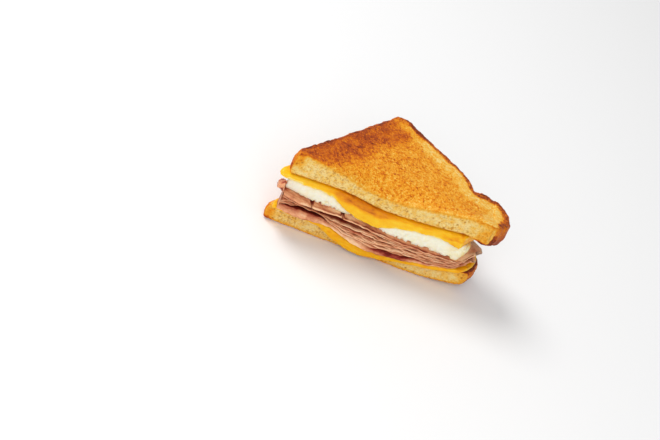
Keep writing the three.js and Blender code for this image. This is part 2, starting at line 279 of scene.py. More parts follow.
class Finish:
    """A material and short calls for making its nodes."""

    def __init__(self, name, **values):
        self.material = bpy.data.materials.new(name)
        self.material.use_nodes = True
        self.tree = self.material.node_tree
        self.shader = self.tree.nodes["Principled BSDF"]
        for key, value in values.items():
            self.shader.inputs[key.replace("_", " ")].default_value = value
        self.place = self.tree.nodes.new("ShaderNodeTexCoord").outputs["Object"]

    def glow(self, weight, radius, scale):
        """Light that enters the food and comes out again, with its reach in millimetres."""
        self.shader.inputs["Subsurface Weight"].default_value = weight
        self.shader.inputs["Subsurface Radius"].default_value = radius
        self.shader.inputs["Subsurface Scale"].default_value = scale * MM

    def feed(self, socket, value):
        """Gives an input another node's output or a constant."""
        if isinstance(value, bpy.types.NodeSocket):
            self.tree.links.new(value, socket)
        else:
            socket.default_value = value

    def math(self, operation, a, b, clamp=False):
        node = self.tree.nodes.new("ShaderNodeMath")
        node.operation = operation
        node.use_clamp = clamp
        self.feed(node.inputs[0], a)
        self.feed(node.inputs[1], b)
        return node.outputs[0]

    def mask(self, name):
        """The values of one of the mesh's attributes."""
        node = self.tree.nodes.new("ShaderNodeAttribute")
        node.attribute_name = name
        return node.outputs["Fac"]

    def noise(self, size, detail=3.0, roughness=0.55, stretch=(1, 1, 1)):
        """Noise from 0 to 1, whose bumps are about size millimetres across."""
        mapping = self.tree.nodes.new("ShaderNodeMapping")
        mapping.inputs["Scale"].default_value = [1 / (size * MM * s) for s in stretch]
        self.feed(mapping.inputs["Vector"], self.place)
        node = self.tree.nodes.new("ShaderNodeTexNoise")
        node.inputs["Scale"].default_value = 1.0
        node.inputs["Detail"].default_value = detail
        node.inputs["Roughness"].default_value = roughness
        self.feed(node.inputs["Vector"], mapping.outputs[0])
        return node.outputs[0]

    def centred(self, value, strength):
        """Noise from 0 to 1, turned into a shift either way of about that strength."""
        return self.math("MULTIPLY", self.math("SUBTRACT", value, 0.5), 2 * strength)

    def ramped(self, value, start, end):
        """A climb from 0 where the value is start to 1 where it is end."""
        node = self.tree.nodes.new("ShaderNodeMapRange")
        node.inputs["From Min"].default_value = start
        node.inputs["From Max"].default_value = end
        self.feed(node.inputs["Value"], value)
        return node.outputs["Result"]

    def colours(self, value, stops):
        """A colour for each value, from stops that each hold a value and a hex colour."""
        node = self.tree.nodes.new("ShaderNodeValToRGB")
        points = node.color_ramp.elements
        while len(points) < len(stops):
            points.new(0.5)
        for point, (at, code) in zip(points, stops):
            point.position = at
            point.color = linear(code)
        self.feed(node.inputs["Fac"], value)
        return node.outputs["Color"]

    def blend(self, share, colour, code, kind="MIX"):
        """A colour with a hex colour mixed in, or multiplied in, by that share."""
        node = self.tree.nodes.new("ShaderNodeMix")
        node.data_type = "RGBA"
        node.blend_type = kind
        self.feed(node.inputs["Factor"], share)
        self.feed(node.inputs[6], colour)
        self.feed(node.inputs[7], linear(code))
        return node.outputs[2]

    def bump(self, height, depth, strength):
        node = self.tree.nodes.new("ShaderNodeBump")
        node.inputs["Strength"].default_value = strength
        node.inputs["Distance"].default_value = depth * MM
        self.feed(node.inputs["Height"], height)
        self.feed(self.shader.inputs["Normal"], node.outputs[0])

    def colour(self, value):
        self.feed(self.shader.inputs["Base Color"], value)

    def rough(self, value):
        self.feed(self.shader.inputs["Roughness"], value)


# ---------------------------------------------------------------- bread

BREAD_VOXEL = 0.55
BREAD_ROUNDS = 7
BREAD_COLOURS = [
    (0.0, "f3d890"),
    (0.2, "f1c35e"),
    (0.38, "efae38"),
    (0.54, "e89518"),
    (0.68, "da780e"),
    (0.82, "b65010"),
    (0.93, "943c14"),
    (1.0, "6c2a10"),
]

# The crumb's large and small holes: their strength, the spacing of their cells, their smallest and largest
# radius, and what they add to the slice's seed. Then how deep they are on each kind of surface.
BREAD_HOLES = [(0.5, 4.2, 0.2, 1.5, 30), (0.7, 1.9, 0.25, 0.95, 40)]
HOLE_DEPTH = {"cut": 0.7, "face": 0.4, "inner": 0.5, "wall": 0.12}

# The upper slice's crown at the right end: how far it moves along each axis, how far its underside sags,
# the middle of its round part, and how far that part spreads.
CROWN_MOVE = (1.8, 0, -1.0)
CROWN_SAG = 3.0
CROWN_CENTRE = np.array([RIGHT_X - 17.4, CUT_Y + 20.8])
CROWN_SPREAD = 1.8


def crown_sag(x):
    """How far the upper slice's underside is lowered under its crown."""
    return CROWN_SAG * ramp(x, RIGHT_X - 30, RIGHT_X - 12)


def bread_finish():
    finish = Finish("toast", IOR=1.45, Specular_IOR_Level=0.15)
    finish.glow(0.1, (1.0, 0.5, 0.2), 1.0)
    grain = finish.noise(1.7, detail=4.0, roughness=0.75)
    fine = finish.noise(0.9, detail=2.0, roughness=0.6)
    shift = finish.math("ADD", finish.centred(grain, 0.62), finish.centred(fine, 0.46))
    shift = finish.math("MULTIPLY", shift, finish.mask("mottle"))
    browned = finish.colours(finish.math("ADD", finish.mask("toast"), shift, clamp=True), BREAD_COLOURS)
    specks = finish.ramped(finish.noise(1.25, detail=2.0), 0.5, 0.66)
    specks = finish.math("MULTIPLY", specks, finish.mask("crumb"))
    specked = finish.blend(finish.math("MULTIPLY", specks, 0.62), browned, "c48c4c", "MULTIPLY")
    # The crumb's holes are darkened with c49a52, as painted shade in them.
    finish.colour(finish.blend(finish.mask("pore_shade"), specked, "c49a52", "MULTIPLY"))
    finish.rough(finish.math("ADD", 0.55, finish.centred(grain, 0.15)))
    finish.bump(finish.math("ADD", grain, finish.math("MULTIPLY", fine, 0.5)), 0.5, 0.9)
    return finish.material


def crust_distance(points, normals):
    """Each point's distance, in plan, from the crust's side wall."""
    wall = points[(np.abs(normals[:, 2]) < 0.35) & (points[:, 1] > CUT_Y + 6)][::3]
    tree = KDTree(len(wall))
    for index, (x, y, _) in enumerate(wall):
        tree.insert((x, y, 0), index)
    tree.balance()
    return np.array([tree.find((x, y, 0))[2] for x, y, _ in points])


class BreadSkin(Skin):
    """A slice's mesh, with what its colours and bumps are worked out from.

    cut, face, inner and wall are 1 on the cut, the toasted face, the face towards the filling and the
    crust's side. large, medium, small and tiny are noise, and rim is the distance from the crust.
    """

    def __init__(self, piece, node, seed, up):
        super().__init__(piece)
        self.relax(BREAD_ROUNDS)
        self.start, self.out = self.points.copy(), self.normals()
        self.seed = seed
        x, y, z = self.start.T
        low, high = box(node)
        solid = Solids(node)
        base, top = (np.interp(x, *solid.profile(low[1] + BEHIND_CUT, direction)) for direction in (1, -1))
        self.thickness = top - base
        self.to_face = top - z if up > 0 else z - base
        self.to_filling = z - base if up > 0 else top - z
        self.height = (z - low[2]) / (high[2] - low[2])
        self.cut = ramp(-self.out[:, 1], 0.55, 0.9) * ramp(y, low[1] + 3.5, low[1] + 1)
        self.face = ramp(up * self.out[:, 2], 0.5, 0.9)
        self.inner = ramp(-up * self.out[:, 2], 0.5, 0.9)
        self.wall = np.clip(1 - self.cut - self.face - self.inner, 0, 1)
        self.rim = crust_distance(self.start, self.out)
        self.large = fractal(self.start, 26, seed)
        self.medium = fractal(self.start, 7, seed + 10)
        self.small = fractal(self.start, 2.6, seed + 20, octaves=2)
        self.tiny = noise(self.start, 1.5, seed + 25)
        self.apex = self.start[np.argmax(y)]
        self.at_right = ramp(x, RIGHT_X - 34, RIGHT_X - 8)

    def dark(self):
        """1 in the dark stretch along the far left side, and less towards the apex."""
        x, y, _ = self.start.T
        left_end = self.start[np.argmin(x)]
        side = (self.apex - left_end)[:2]
        along_left = side / np.linalg.norm(side)
        from_left = (self.start[:, :2] - left_end[:2]) @ (along_left[1], -along_left[0])
        near_apex = ramp(np.hypot(x - self.apex[0], y - self.apex[1]), 24, 8)
        return ramp(from_left + 7 * self.large + 4 * self.medium, 30, 12) * (1 - 0.6 * near_apex)

    def face_toast(self, dark):
        """The toasted face: darkest at the far left, and palest in a strip beside the right-hand crust."""
        x, y, _ = self.start.T
        large, medium, small, rim = self.large, self.medium, self.small, self.rim
        right_side = ramp(x, self.apex[0] - 6, self.apex[0] + 8)
        pale = right_side * ramp(rim + 3 * medium + 2 * small, 18, 13) * ramp(rim + 1.5 * medium, 5, 7)
        toast = 0.54 + 0.06 * large + (0.09 * medium + 0.11 * small + 0.13 * self.tiny) * (1 - 0.4 * dark)
        toast += 0.27 * dark * (1 + 0.3 * medium) - 0.25 * pale * (1 + 0.6 * medium)
        toast += 0.34 * ramp(rim + 1.5 * medium, 7, 4) * right_side
        toast += 0.12 * ramp(rim, 4.5, 2) * (1 - right_side)
        return toast - 0.14 * ramp(y, CUT_Y + 6, CUT_Y) * (1 + medium)

    def wall_toast(self):
        """The crust's side, which is darkest low down at the right end."""
        low_right = self.at_right * ramp(self.height, 0.8, 0.3)
        return 0.72 + 0.14 * self.medium + 0.08 * self.small + 0.20 * low_right

    def crumb_toast(self):
        """The crumb, which turns golden towards the toasted face, the filling and both ends."""
        x, medium, small = self.start[:, 0], self.medium, self.small
        toast = 0.11 + 0.10 * medium + 0.12 * small + 0.12 * self.tiny
        toast += 0.34 * ramp(self.to_face + 1.2 * medium + 1.2 * small, 3.0, 0.6)
        toast += 0.14 * ramp(self.to_filling + medium, 1.6, 0.2)
        toast += 0.24 * self.at_right * (1 + medium)
        browned_filling = ramp(self.to_filling + 2 * small, 3.2, 0.8)
        toast += 0.6 * ramp(x + 3 * medium, RIGHT_X - 26, RIGHT_X - 14) * browned_filling
        left_corner = ramp(x + 3 * medium + 2 * small, LEFT_X + 9, LEFT_X + 3)
        return toast + 0.45 * left_corner * ramp(self.to_face, 14, 7)

    def browned(self, dark):
        """How browned each point is, from 0 to about 1."""
        toast = self.face_toast(dark) * self.face + self.wall_toast() * self.wall
        toast += self.crumb_toast() * (self.cut + self.inner)
        return toast / np.maximum(self.face + self.wall + self.cut + self.inner, 1e-6)

    def roughen(self, holes):
        """Sinks the holes, which are shallow on the toasted face, and raises the crust's bumps."""
        edge = ramp(self.rim, 3.5, 0.5)
        depth = HOLE_DEPTH["cut"] * self.cut + HOLE_DEPTH["face"] * self.face
        depth += HOLE_DEPTH["inner"] * self.inner + HOLE_DEPTH["wall"] * self.wall
        push = -holes * depth
        push += (self.face + self.wall) * (0.3 * self.large + 0.34 * self.medium)
        push += 0.22 * self.small * (1 + 0.9 * edge) + 0.17 * self.tiny
        push += 0.5 * edge * noise(self.start, 3.4, self.seed + 50)
        self.points += self.out * push[:, None]

    def swell_crown(self):
        """Moves the crown out, lowers its underside, and spreads its round part."""
        x, y, _ = self.start.T
        self.points += ramp(x, RIGHT_X - 22, RIGHT_X - 4)[:, None] * CROWN_MOVE
        self.points[:, 2] -= crown_sag(x) * np.clip(self.to_face / self.thickness, 0, 1)
        arm = self.start[:, :2] - CROWN_CENTRE
        reach = np.linalg.norm(arm, axis=1)
        start_x = CROWN_CENTRE[0] - 8
        swell = CROWN_SPREAD * ramp(reach, 6, 16) * ramp(x + 0.3 * y, start_x, start_x + 5)
        swell *= ramp(y, CUT_Y + 0.5, CUT_Y + 6) * ramp(arm[:, 0] + arm[:, 1], -2, 6)
        self.points[:, :2] += arm / np.maximum(reach, 1)[:, None] * swell[:, None]


def make_bread(name, node, seed, up):
    """A toasted slice. up is 1 where its toasted face is the upper one, and -1 where it is the lower."""
    piece = remeshed(name, node, BREAD_VOXEL)
    skin = BreadSkin(piece, node, seed, up)
    dark = skin.dark()
    browned = skin.browned(dark)
    holes = sum(share * pores(skin.start, *sizes, seed + own) for share, *sizes, own in BREAD_HOLES)
    skin.roughen(holes)
    if up > 0:
        skin.swell_crown()
    skin.points[:, 2] = np.maximum(skin.points[:, 2], 0)
    browned -= 0.16 * ramp(holes, 0.1, 0.8) * skin.face
    crumb = np.clip(skin.cut + skin.inner, 0, 1) * ramp(browned, 0.62, 0.3)
    skin.attribute("toast", np.clip(browned, 0, 1))
    skin.attribute("mottle", 0.4 + (0.6 - 0.45 * dark) * skin.face)
    skin.attribute("crumb", crumb * (0.75 + 0.8 * skin.medium + 0.4 * skin.large))
    # Painted shade in the holes of the cut and of the face towards the filling.
    skin.attribute("pore_shade", np.clip(holes * (skin.cut + 0.7 * skin.inner) * 1.3, 0, 1))
    skin.write()
    return piece


# ---------------------------------------------------------------- cheese

CHEESE_VOXEL = 0.6
CHEESE_ROUNDS = 5
CHEESE_COLOURS = [
    (0.0, "ffe27c"),
    (0.16, "fecb2a"),
    (0.42, "fab60a"),
    (0.6, "f09c06"),
    (0.78, "da7c04"),
    (0.92, "ac5008"),
    (1.0, "7a3408"),
]

# How far the upper cheese runs out at its right end, and between which places that grows along X. Then
# between which places the tip there browns.
CHEESE_END_REACH = 4
CHEESE_END = (LEFT_X + 122, LEFT_X + 140)
CHEESE_TIP = (LEFT_X + 112, LEFT_X + 126)
# Where along the cut the cheese's band under the bread is browned and painted with shade, and where it is
# scorched: the middle, from the left end, and how far from there the colour has gone and is full.
BROWNED = {"middle": 68, "gone": 51, "full": 30}
SCORCHED = {"middle": 55, "gone": 28, "full": 10}
# How far below the bread the band of browning and painted shade reaches, and how much farther where it is
# scorched.
BAND_REACH = 3.2
SCORCHED_REACH = 4.6


def cheese_finish():
    shine = {"Specular_IOR_Level": 0.15, "Coat_Weight": 0.16, "Coat_Roughness": 0.16}
    finish = Finish("melted_cheese", IOR=1.46, **shine)
    finish.glow(0.2, (1.0, 0.4, 0.04), 2.0)
    cloud = finish.noise(5.0, detail=3.0)
    streak = finish.noise(1.6, detail=3.0, stretch=(4.0, 1, 1))
    shift = finish.math("ADD", finish.centred(cloud, 0.16), finish.centred(streak, 0.24))
    # The browned value also holds painted shade under the bread and on faces that look down.
    value = finish.math("ADD", finish.mask("browned"), shift, clamp=True)
    finish.colour(finish.colours(value, CHEESE_COLOURS))
    finish.rough(finish.math("ADD", 0.36, finish.centred(cloud, 0.10)))
    finish.bump(finish.math("ADD", streak, finish.noise(2.4, detail=2.0)), 0.35, 0.6)
    return finish.material


def near(x, stretch):
    """1 in the middle of a stretch of the cut, and 0 outside it."""
    return ramp(np.abs(x - LEFT_X - stretch["middle"]), stretch["gone"], stretch["full"])


def make_cheese(name, node, seed, upper):
    """A melted slice. upper is 1 for the one that browns, with painted shade, under the top bread, and 0 for
    the other.
    """
    piece = remeshed(name, node, CHEESE_VOXEL)
    skin = Skin(piece)
    skin.relax(CHEESE_ROUNDS)
    points, normals = skin.points.copy(), skin.normals()
    x, y, z = points.T
    front = ramp(y, CUT_Y + 2.5, CUT_Y - 0.5)
    wave = fractal(points * (1, 1, 0.4), 8, seed)
    small = fractal(points, 2.8, seed + 5, octaves=2)
    lobes = fractal(points * (1, 0.3, 0.15), 6, seed + 8, octaves=2)
    push = 0.4 * wave + 0.14 * small + 0.35 * lobes * front
    skin.points += normals * push[:, None]

    # The uneven hem at the cut, the right end that runs out, and the part that sinks with the crown.
    hem = z - np.interp(x, *Solids(node).profile(CUT_Y - BEFORE_CUT, 1))
    drip = 1.3 * along(x, 7, seed + 3, 2) + 0.5 * along(x, 2.2, seed + 4, 2)
    skin.points[:, 2] -= drip * ramp(hem, 4.5, 1) * front * (0.3 + 0.7 * upper)
    run_out = CHEESE_END_REACH * upper * ramp(x, *CHEESE_END)
    skin.points[:, 0] += run_out * ramp(y, CUT_Y + 16, CUT_Y + 6)
    skin.points[:, 2] = np.maximum(skin.points[:, 2], 0)
    skin.points[:, 2] -= crown_sag(x) * ramp(y, CUT_Y + 3, CUT_Y + 9) * upper

    # The colour, which is browned and painted with shade in a band under the bread, painted deeper as shade
    # on faces that look down, and palest along the hem.
    under = np.interp(x, *UNDER_TOP_BREAD) - z
    scorched = near(x, SCORCHED)
    reach = BAND_REACH + SCORCHED_REACH * scorched
    band = ramp(under + 0.9 * wave, reach, 0.55 * reach) * ramp(y, CUT_Y + 9, CUT_Y + 4) * upper
    right_tip = ramp(x, *CHEESE_TIP) * upper
    browning_and_shade = 0.42 - 0.12 * upper + (0.14 * wave + 0.10 * small) * (1 - 0.7 * band)
    browning_and_shade += ((0.26 + 0.24 * scorched) * near(x, BROWNED) - 0.04) * band + right_tip * (0.24 + 0.3 * small)
    # Painted shade: faces that look down are painted deeper orange.
    browning_and_shade += 0.10 * ramp(-normals[:, 2], 0.2, 0.9)
    browning_and_shade -= 0.26 * ramp(hem + small, 1.8, 0.3) * front * upper * (1 - 0.7 * scorched)
    skin.attribute("browned", np.clip(browning_and_shade, 0, 1))
    skin.write()
    return piece


# ---------------------------------------------------------------- egg

EGG_VOXEL = 0.6
EGG_ROUNDS = 4
EGG_COLOURS = [(0.0, "faf6e2"), (0.4, "f5ebc6"), (0.75, "f0d588"), (1.0, "d6a458")]

# Where the egg ends at the right, how far it is drawn out there, and how far it bends back from the cut.
EGG_END = LEFT_X + 134
EGG_END_REACH = 6
EGG_END_TURN = 3
# The nicks in the egg's lower edge: the distance of each from the left end, and half its width.
EGG_NICKS = [(30, 1.0), (53, 1.2), (97.5, 2.2), (111, 1.6), (124, 1.0)]


def egg_finish():
    finish = Finish("egg_white", IOR=1.42, Specular_IOR_Level=0.3)
    finish.glow(0.3, (1.0, 0.8, 0.5), 1.5)
    cloud = finish.noise(3.0, detail=4.0)
    value = finish.math("ADD", finish.mask("tint"), finish.centred(cloud, 0.34), clamp=True)
    finish.colour(finish.colours(value, EGG_COLOURS))
    finish.rough(finish.math("ADD", 0.45, finish.centred(cloud, 0.12)))
    finish.bump(finish.noise(1.2, detail=4.0), 0.4, 0.8)
    return finish.material


def make_egg(name, node, seed):
    """The egg white, with dents, a torn lower edge at the cut and a lumpy right end."""
    piece = remeshed(name, node, EGG_VOXEL)
    skin = Skin(piece)
    skin.relax(EGG_ROUNDS)
    points, normals = skin.points.copy(), skin.normals()
    x, y, z = points.T
    above_base = z - np.interp(x, *Solids(node).profile(CUT_Y + BEHIND_CUT, 1))
    base = ramp(above_base, 2.6, 0.4) * ramp(y, CUT_Y + 5, CUT_Y + 1)
    wave = fractal(points, 6, seed)
    small = fractal(points, 2.0, seed + 5, octaves=2)
    torn = ramp(along(x, 5.5, seed + 7), 0.1, 0.5) + 0.8 * ramp(along(x, 2.0, seed + 8, 2), 0.1, 0.6)
    for place, half_width in EGG_NICKS:
        torn += 1.5 * ramp(np.abs(x - LEFT_X - place), half_width, 0)
    dents = pores(points, 5.5, 0.2, 1.6, seed + 9)
    at_end = ramp(x, EGG_END - 16, EGG_END - 4)
    push = (0.6 + 0.7 * at_end) * wave + (0.36 + 0.6 * at_end) * small - 0.6 * dents
    skin.points += normals * push[:, None]
    drawn_out = EGG_END_REACH * ramp(x, EGG_END - 16, EGG_END - 3)
    skin.points[:, 0] += drawn_out * ramp(y, CUT_Y + 14, CUT_Y + 3)
    turned = EGG_END_TURN * ramp(x, EGG_END - 5, EGG_END + 2) ** 2
    skin.points[:, 1] += 1.5 * base * torn + turned * (1 - base)
    skin.points[:, 2] += base * torn

    # The colour, which is deeper low on the cut, at the right end and under the cheese's hem, and deeper in
    # the dents as painted shade.
    hem = np.interp(x, *Solids("cheese_top").profile(CUT_Y - BEFORE_CUT, 1))
    tint = 0.10 + 0.22 * wave + 0.2 * small + 0.25 * dents
    tint += 0.35 * base * (0.4 + small) + at_end * (0.34 + 0.5 * small)
    tint += 0.45 * ramp(hem - z + 1.5 * small, 2.6, 0.2)
    skin.attribute("tint", np.clip(tint, 0, 1))
    skin.write()
    return piece


# ---------------------------------------------------------------- ham

# The leaves, lowest first, with the CAD slice that each belongs to. The lists run in equal steps from the
# left end to the right:
#   thick: a leaf's thickness, in relation to the other leaves there;
#   proud: how far it stands out of the cut, in millimetres;
#   cure and shade: how deeply cured it looks, from pale at 0 to dark at 1, with painted shade and light in
#       it;
#   lean: how much farther out the foot of its front edge stands than the top, in millimetres.
# tears holds the places of its tears, as shares of the ham's width. The widest leaf fills that width, and
# its left corner is folded. shade_above and shade_below are how dark it gets over its top and at the foot
# of its front edge, where that isn't SHADE_BETWEEN and SHADE_AT_FOOT.
HAM_LEAVES = [
    {
        "slice": 1,
        "thick": [3.0, 6.0, 8.6, 7.6, 3.4, 3.6, 4.3, 4.0, 4.3, 4.1, 3.6, 2.6, 1.8, 1.3, 1.4],
        "proud": [1.0, 2.6, 3.6, 3.4, 1.8, 1.6, 2.0, 2.0, 2.4, 2.6, 2.2, 1.6, 1.2, 1.0, 0.5],
        "cure_and_shade": [0.55, 0.6, 0.6, 0.55, 0.3, 0.15, 0.1, 0.35, 0.8, 0.86, 0.76, 0.6, 0.45, 0.4, 0.4],
        "lean": [0, 1.5, 2.6, 2.2, 0.6, 0.6, 0.8, 0.8, 0.8, 0.8, 0.5, 0, 0, 0, 0],
        "shade_below": 0,
    },
    {
        "slice": 2,
        "thick": [1.6, 0.9, 0.35, 0.4, 1.0, 1.4, 1.3, 1.5, 1.2, 0.9, 1.1, 1.0, 0.9, 0.9, 1.2],
        "proud": [0.5, 0.2, -1.5, -1.0, 1.2, 1.8, 1.4, 2.2, 1.2, 2.0, 1.0, 1.6, 0.8, 0.6, 0.4],
        "cure_and_shade": [0.4, 0.4, 0.5, 0.5, 0.3, 0.2, 0.25, 0.3, 0.5, 0.4, 0.45, 0.3, 0.4, 0.4, 0.4],
    },
    {
        "slice": 2,
        "thick": [1.4, 0.7, 0.3, 0.3, 0.8, 1.1, 1.6, 1.2, 1.0, 1.3, 1.0, 1.1, 0.9, 0.8, 1.2],
        "proud": [0.2, 0.8, -1.5, -1.5, 0.6, 1.0, 2.0, 0.6, 2.4, 1.0, 2.0, 0.6, 1.4, 0.4, 0.4],
        "cure_and_shade": [0.5, 0.4, 0.6, 0.5, 0.4, 0.35, 0.2, 0.4, 0.3, 0.5, 0.3, 0.5, 0.3, 0.5, 0.4],
    },
    {
        "slice": 3,
        "thick": [1.5, 0.8, 0.3, 0.35, 1.2, 1.5, 1.3, 1.5, 1.3, 1.0, 1.2, 0.9, 1.0, 0.9, 1.3],
        "proud": [1.0, 0.4, -1.0, 0.2, 2.0, 2.2, 0.8, 1.6, 0.8, 2.2, 0.8, 1.8, 0.6, 1.0, 0.4],
        "cure_and_shade": [0.3, 0.4, 0.5, 0.5, 0.25, 0.2, 0.5, 0.3, 0.45, 0.25, 0.5, 0.3, 0.45, 0.3, 0.4],
    },
    {
        "slice": 4,
        "thick": [1.4, 0.7, 0.3, 0.3, 0.9, 1.2, 1.7, 1.3, 1.4, 1.2, 0.9, 1.1, 0.8, 0.9, 1.2],
        "proud": [0.2, 0.2, -1.0, -1.0, 0.4, 0.2, 1.6, 0.2, 1.8, 0.8, 2.0, 0.8, 1.4, 0.4, 0.4],
        "cure_and_shade": [0.5, 0.5, 0.6, 0.6, 0.6, 0.6, 0.3, 0.6, 0.3, 0.5, 0.35, 0.5, 0.3, 0.5, 0.4],
    },
    {
        "slice": 4,
        "thick": [1.3, 0.7, 0.35, 0.5, 1.0, 1.0, 1.4, 1.6, 1.0, 1.2, 1.1, 0.9, 0.9, 0.8, 1.2],
        "proud": [0.8, 0.6, -0.5, 0.5, 1.6, 1.0, 0.4, 1.6, 0.4, 1.6, 0.6, 1.8, 0.6, 1.2, 0.4],
        "cure_and_shade": [0.4, 0.4, 0.4, 0.4, 0.35, 0.4, 0.5, 0.3, 0.5, 0.3, 0.45, 0.3, 0.4, 0.35, 0.4],
    },
    {
        "slice": 5,
        "thick": [1.2, 1.0, 0.9, 1.0, 1.3, 1.4, 1.2, 1.0, 1.1, 0.9, 0.9, 0.8, 0.8, 0.8, 1.2],
        "proud": [1.2, 1.8, 2.6, 3.0, 2.8, 2.6, 2.2, 1.2, 1.6, 0.8, 1.4, 0.8, 1.2, 0.8, 0.6],
        "cure_and_shade": [0.3, 0.3, 0.35, 0.4, 0.35, 0.25, 0.15, 0.3, 0.2, 0.35, 0.25, 0.4, 0.3, 0.4, 0.35],
    },
    {
        "slice": 6,
        "thick": [0.6, 0.5, 0.6, 2.2, 4.2, 3.8, 2.2, 1.0, 0.9, 1.0, 0.9, 0.9, 0.7, 0.8, 1.2],
        "proud": [0.6, 0.2, -0.8, -3.4, -4.6, -4.0, -2.0, 0.4, 0.8, 1.6, 0.8, 1.4, 0.6, 1.0, 0.6],
        # The recessed middle of this leaf is painted dark red, as painted shade in the hollow.
        "cure_and_shade": [0.5, 0.5, 0.6, 0.95, 1.05, 1.0, 0.8, 0.4, 0.35, 0.3, 0.4, 0.3, 0.4, 0.3, 0.4],
    },
    {
        "slice": 7,
        "thick": [4.6, 4.8, 4.8, 4.4, 3.6, 2.4, 1.8, 1.6, 1.7, 1.9, 1.7, 1.5, 1.3, 1.2, 1.5],
        "proud": [2.4, 2.2, 2.0, 2.0, 1.8, 1.8, 1.4, 1.2, 0.8, 1.4, 1.0, 1.6, 0.8, 1.4, 1.0],
        # This leaf is painted paler at its right end, as painted light where the top bread shades it.
        "cure_and_shade": [0.4, 0.35, 0.3, 0.28, 0.2, 0.25, 0.3, 0.35, 0.3, 0.4, 0.35, 0.3, 0.3, 0.1, -0.2],
        "tears": [0.183, 0.335],
        "widest": True,
        "shade_above": 0.15,
        "shade_below": 0.85,
    },
]
SHADE_BETWEEN = 0.78
SHADE_AT_FOOT = 0.66
HAM_COLOURS = [
    (0.0, "ffd2a6"),
    (0.25, "f0ae80"),
    (0.5, "d2845c"),
    (0.72, "b4583e"),
    (0.88, "9a3426"),
    (1.0, "701c12"),
]

# A leaf's points: how many there are along it, and how far behind the cut its rows are. Then the heights
# of the rows of its front edge, as shares of its thickness from its middle.
HAM_COLUMNS = 360
HAM_DEPTHS = [0, 0.4, 1, 1.8, 3, 4.6, 7, 10, 14, 20, 27, 35, 44, 53, 61, 68, 73, 76, 77.5]
FRONT_RISES = [0.47, 0.38, 0.24, 0.08, -0.08, -0.24, -0.38, -0.47]
SHARES = np.linspace(0, 1, HAM_COLUMNS)
SHEET_ROWS = len(HAM_DEPTHS)

# The ends are measured no nearer to the cut than WIDTH_DEPTH, and the leaves lie evenly from EVEN_DEPTH,
# where each fills that part of its own layer.
WIDTH_DEPTH = 4
EVEN_DEPTH = 16
EVEN_PART = (0.06, 0.94)
# How far in from the ham's ends a leaf stops: the least at the left and at the right, and what is added
# at random. Then how far its front turns back from the cut at each end.
HAM_INSET = {"left": 1.5, "right": 0.5, "random": 5, "widest": [1.6, 0]}
HAM_TURN = {"left": 3, "right": 9}
# How far in and how far forward the back corners are rounded, how uneven the back and the sides are, and
# how much shorter a leaf may be.
HAM_BACK = {"corner": 9, "corner_depth": 12, "uneven": 2.2, "shorter": 4}
HAM_RUFFLE = {"length": 11, "height": 0.5, "fine_length": 4, "fine_height": 0.22}
HAM_GAP = {"least": 0.42, "most": 2.2}
HAM_FRONT = {"roundness": 0.75, "thickest": 2.4}
# How much darker the rims of the front edge are painted than its middle, which is painted lighter: painted
# shade and painted highlight on the rounded edge.
HAM_EDGE_LIGHT_AND_SHADE = 0.28
# A tear runs from the top of the front edge down to a lowest height, narrows on the way, and slants.
TEAR = {"half_width": 1.9, "depth": 5.0, "lowest": -0.2, "slant": 1.0}
# The widest leaf's folded corner: where along X from the egg's left end it starts, peaks and ends, how
# high it rises, and how far behind the cut it has gone.
HAM_LIP = {"start": 0.2, "peak": -2.0, "end": -7.0, "rise": 8.5, "depth": 14}
# How strong the painted shade lines along the widest leaf's top edge, under the egg, and along its folded
# corner are on the rows round them.
EDGE_SHADE_LINE = [0.3, 0.8, 1, 1, 0.7]
LIP_SHADE_LINE = [0.3, 0.7, 0.7]


def ham_finish():
    finish = Finish("ham", IOR=1.42, Specular_IOR_Level=0.18)
    finish.glow(0.12, (1.0, 0.35, 0.25), 0.7)
    cloud = finish.noise(3.2, detail=4.0, roughness=0.6)
    fibre = finish.noise(0.8, detail=4.0, roughness=0.65, stretch=(4.0, 1, 1))
    shift = finish.math("ADD", finish.centred(cloud, 0.26), finish.centred(fibre, 0.3))
    value = finish.math("ADD", finish.mask("cure_and_shade"), shift, clamp=True)
    cure_and_shade = finish.colours(value, HAM_COLOURS)
    # 6a1e10 is painted shade, mixed in between the leaves, under their front edges and in their tears.
    finish.colour(finish.blend(finish.mask("painted_shade"), cure_and_shade, "6a1e10"))
    finish.rough(finish.math("ADD", 0.42, finish.centred(cloud, 0.12)))
    finish.bump(fibre, 0.3, 0.8)
    return finish.material


def knots(values):
    """A smooth curve through values at equal steps, at each of the leaf's points along X."""
    place = SHARES * (len(values) - 1)
    step = np.minimum(place.astype(int), len(values) - 2)
    values = np.array([2 * values[0] - values[1], *values, 2 * values[-1] - values[-2]])
    before, start, end, after = (values[step + i] for i in range(4))
    t = place - step
    bend = t * (2 * before - 5 * start + 4 * end - after + t * (3 * (start - end) + after - before))
    return start + 0.5 * t * (end - before + bend)


class HamRoom:
    """The room the ham fills at each depth behind the cut: its ends, and its floor and ceiling along X."""

    def __init__(self):
        solids = Solids(*HAM_NODES)
        self.rows = []
        for depth in HAM_DEPTHS:
            ends = solids.profile(CUT_Y + max(depth, WIDTH_DEPTH), 1, 0.5)[0][[0, -1]]
            floor = solids.profile(CUT_Y + depth, 1)
            ceiling = solids.profile(CUT_Y + depth, -1)
            self.rows.append((depth, ends, floor, ceiling))
        self.left, right = self.rows[0][1]
        self.width = right - self.left
        self.xs = self.left + self.width * SHARES


def divisions(leaves, xs):
    """The share of the stack's height at which each leaf starts and ends at the cut."""
    thick = [knots(leaf["thick"]) * (1 + 0.35 * along(xs, 9, 100 + i)) for i, leaf in enumerate(leaves)]
    thick = np.maximum(thick, 0.15)
    spare = [ramp(along(xs, 13, 200 + i), 0.1, 0.7) * np.minimum(thick[i], 1) for i in range(len(leaves))]
    gaps = HAM_GAP["least"] + HAM_GAP["most"] * np.array(spare)
    tops = np.cumsum(thick + gaps, axis=0)
    return (tops - thick) / tops[-1], tops / tops[-1]


